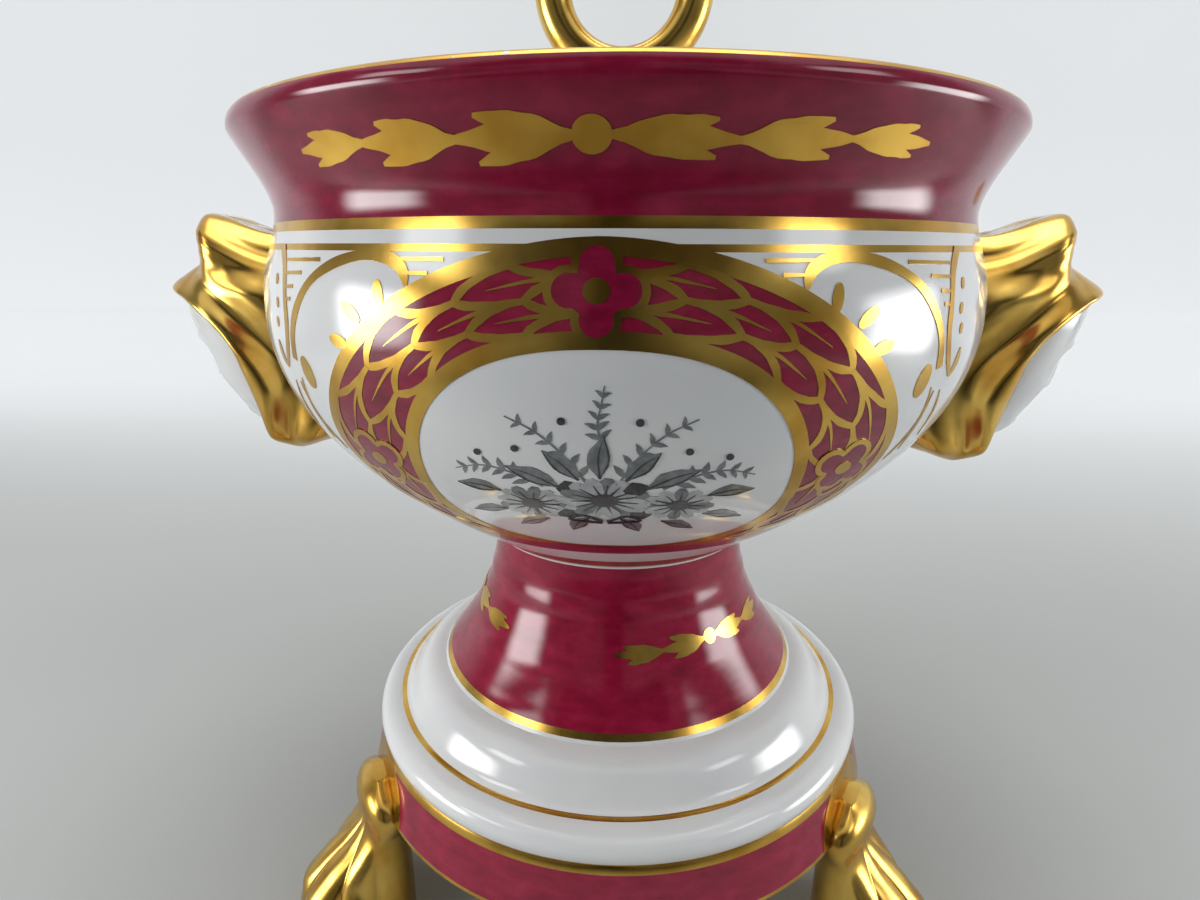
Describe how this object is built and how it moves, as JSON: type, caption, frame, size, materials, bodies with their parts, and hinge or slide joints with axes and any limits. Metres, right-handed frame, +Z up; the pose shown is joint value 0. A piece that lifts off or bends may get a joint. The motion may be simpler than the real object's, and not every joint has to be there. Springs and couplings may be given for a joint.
{
  "type": "lidded pedestal jar",
  "caption": "Round porcelain jar on a waisted pedestal with lion-paw feet, mask heads at the sides and an inset lid that lifts off by a ring.",
  "frame": {"origin": "on the axis of the jar, at the level of the table that the paws stand on", "axes": "+Z up along the axis of the jar; the front looks along -Y, between two of the three paws; the mask heads look along +X and -X"},
  "size_m": [0.2064, 0.1601, 0.2248],
  "materials": {
    "ruby_enamelled_porcelain": "glossy ruby enamel on white glazed porcelain, with gilt lines",
    "white_glazed_porcelain": "glossy transparent glaze on white porcelain",
    "gilt_porcelain": "bright gilding fired on glazed porcelain"
  },
  "bodies": {
    "jar": {"bowl": "ruby_enamelled_porcelain", "pedestal": "ruby_enamelled_porcelain", "mask_right": "gilt_porcelain", "mask_left": "gilt_porcelain", "paw_front_left": "gilt_porcelain", "paw_front_right": "gilt_porcelain", "paw_rear": "gilt_porcelain"},
    "lid": {"lid": "white_glazed_porcelain", "ring_handle": "gilt_porcelain"}
  },
  "joints": [
    {"name": "lid_lift", "type": "slide", "parent": "jar", "child": "lid", "axis": [0, 0, 1], "range_m": [0, 0.045]}
  ]
}
